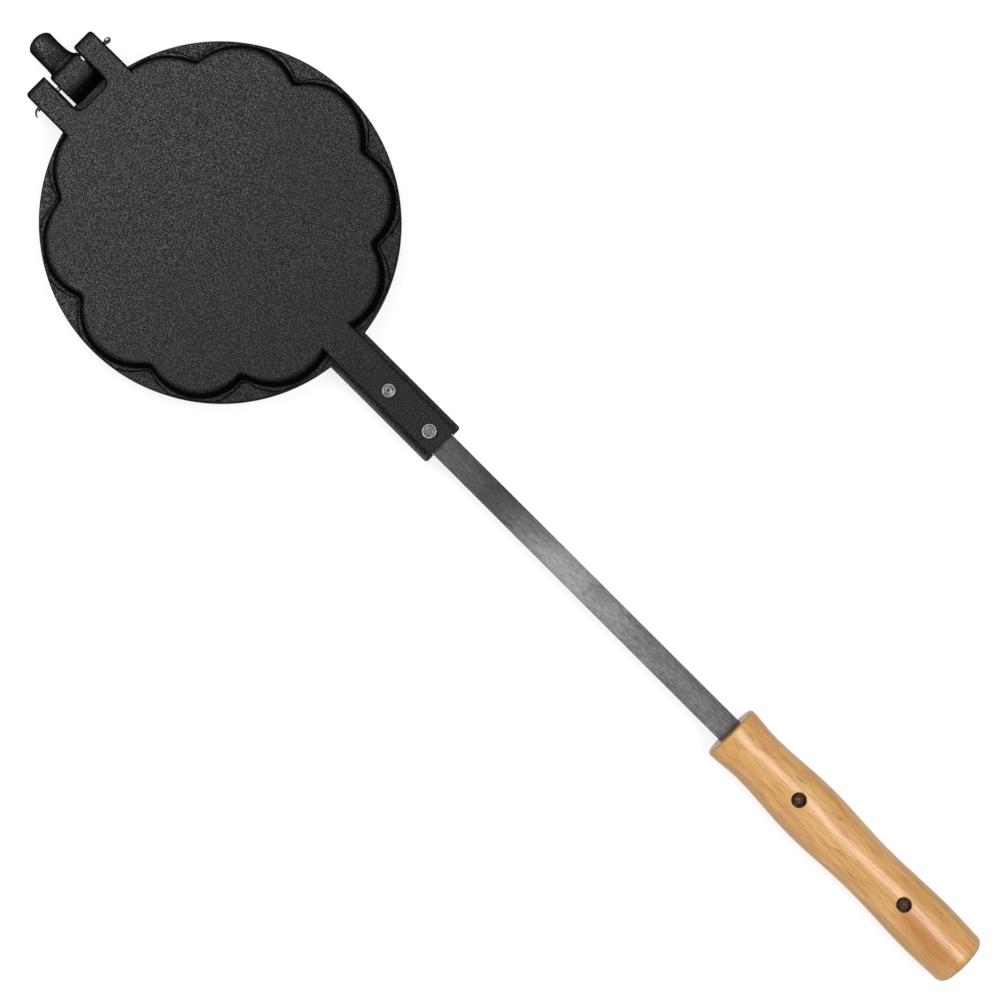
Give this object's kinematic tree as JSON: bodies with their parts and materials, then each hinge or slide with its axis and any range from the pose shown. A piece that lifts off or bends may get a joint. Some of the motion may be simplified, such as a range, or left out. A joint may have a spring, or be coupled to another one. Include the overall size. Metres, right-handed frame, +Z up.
{
  "type": "campfire waffle iron",
  "caption": "Long-handled cast-iron waffle iron for an open fire: round hinged plates with heart-shaped moulds inside, on flat steel bars that end in a split wooden grip.",
  "frame": {"origin": "on the lower plate's flat back, under the centre of its disc", "axes": "+X along the bars from the disc to the grips, +Y across, +Z up through the closed plates; the hinge is at -X"},
  "size_m": [0.7251, 0.2, 0.033],
  "materials": {
    "cast_iron": "rough cast and seasoned, black",
    "bar_steel": "dark, brushed lengthwise",
    "rivet_steel": "bright",
    "pin_steel": "plain wire",
    "dull_steel": "dull brown",
    "wood": "varnished, grain lengthwise"
  },
  "bodies": {
    "lower_half": {"lower_plate": "cast_iron", "lower_bar": "bar_steel", "lower_grip": "wood", "lower_socket_rivet_plate_end": "rivet_steel", "lower_socket_rivet_grip_end": "rivet_steel", "lower_grip_rivet_front": "dull_steel", "lower_grip_rivet_rear": "dull_steel", "lower_grip_washer_front": "dull_steel", "lower_grip_washer_rear": "dull_steel", "hinge_split_pin": "pin_steel"},
    "upper_half": {"upper_plate": "cast_iron", "upper_bar": "bar_steel", "upper_grip": "wood", "upper_socket_rivet_plate_end": "rivet_steel", "upper_socket_rivet_grip_end": "rivet_steel", "upper_grip_rivet_front": "dull_steel", "upper_grip_rivet_rear": "dull_steel", "upper_grip_washer_front": "dull_steel", "upper_grip_washer_rear": "dull_steel"}
  },
  "joints": [
    {"name": "plate_hinge", "type": "hinge", "parent": "lower_half", "child": "upper_half", "pos_m": [-0.116, 0, 0.0165], "axis": [0, -1, 0], "range_deg": [0, 120]}
  ]
}
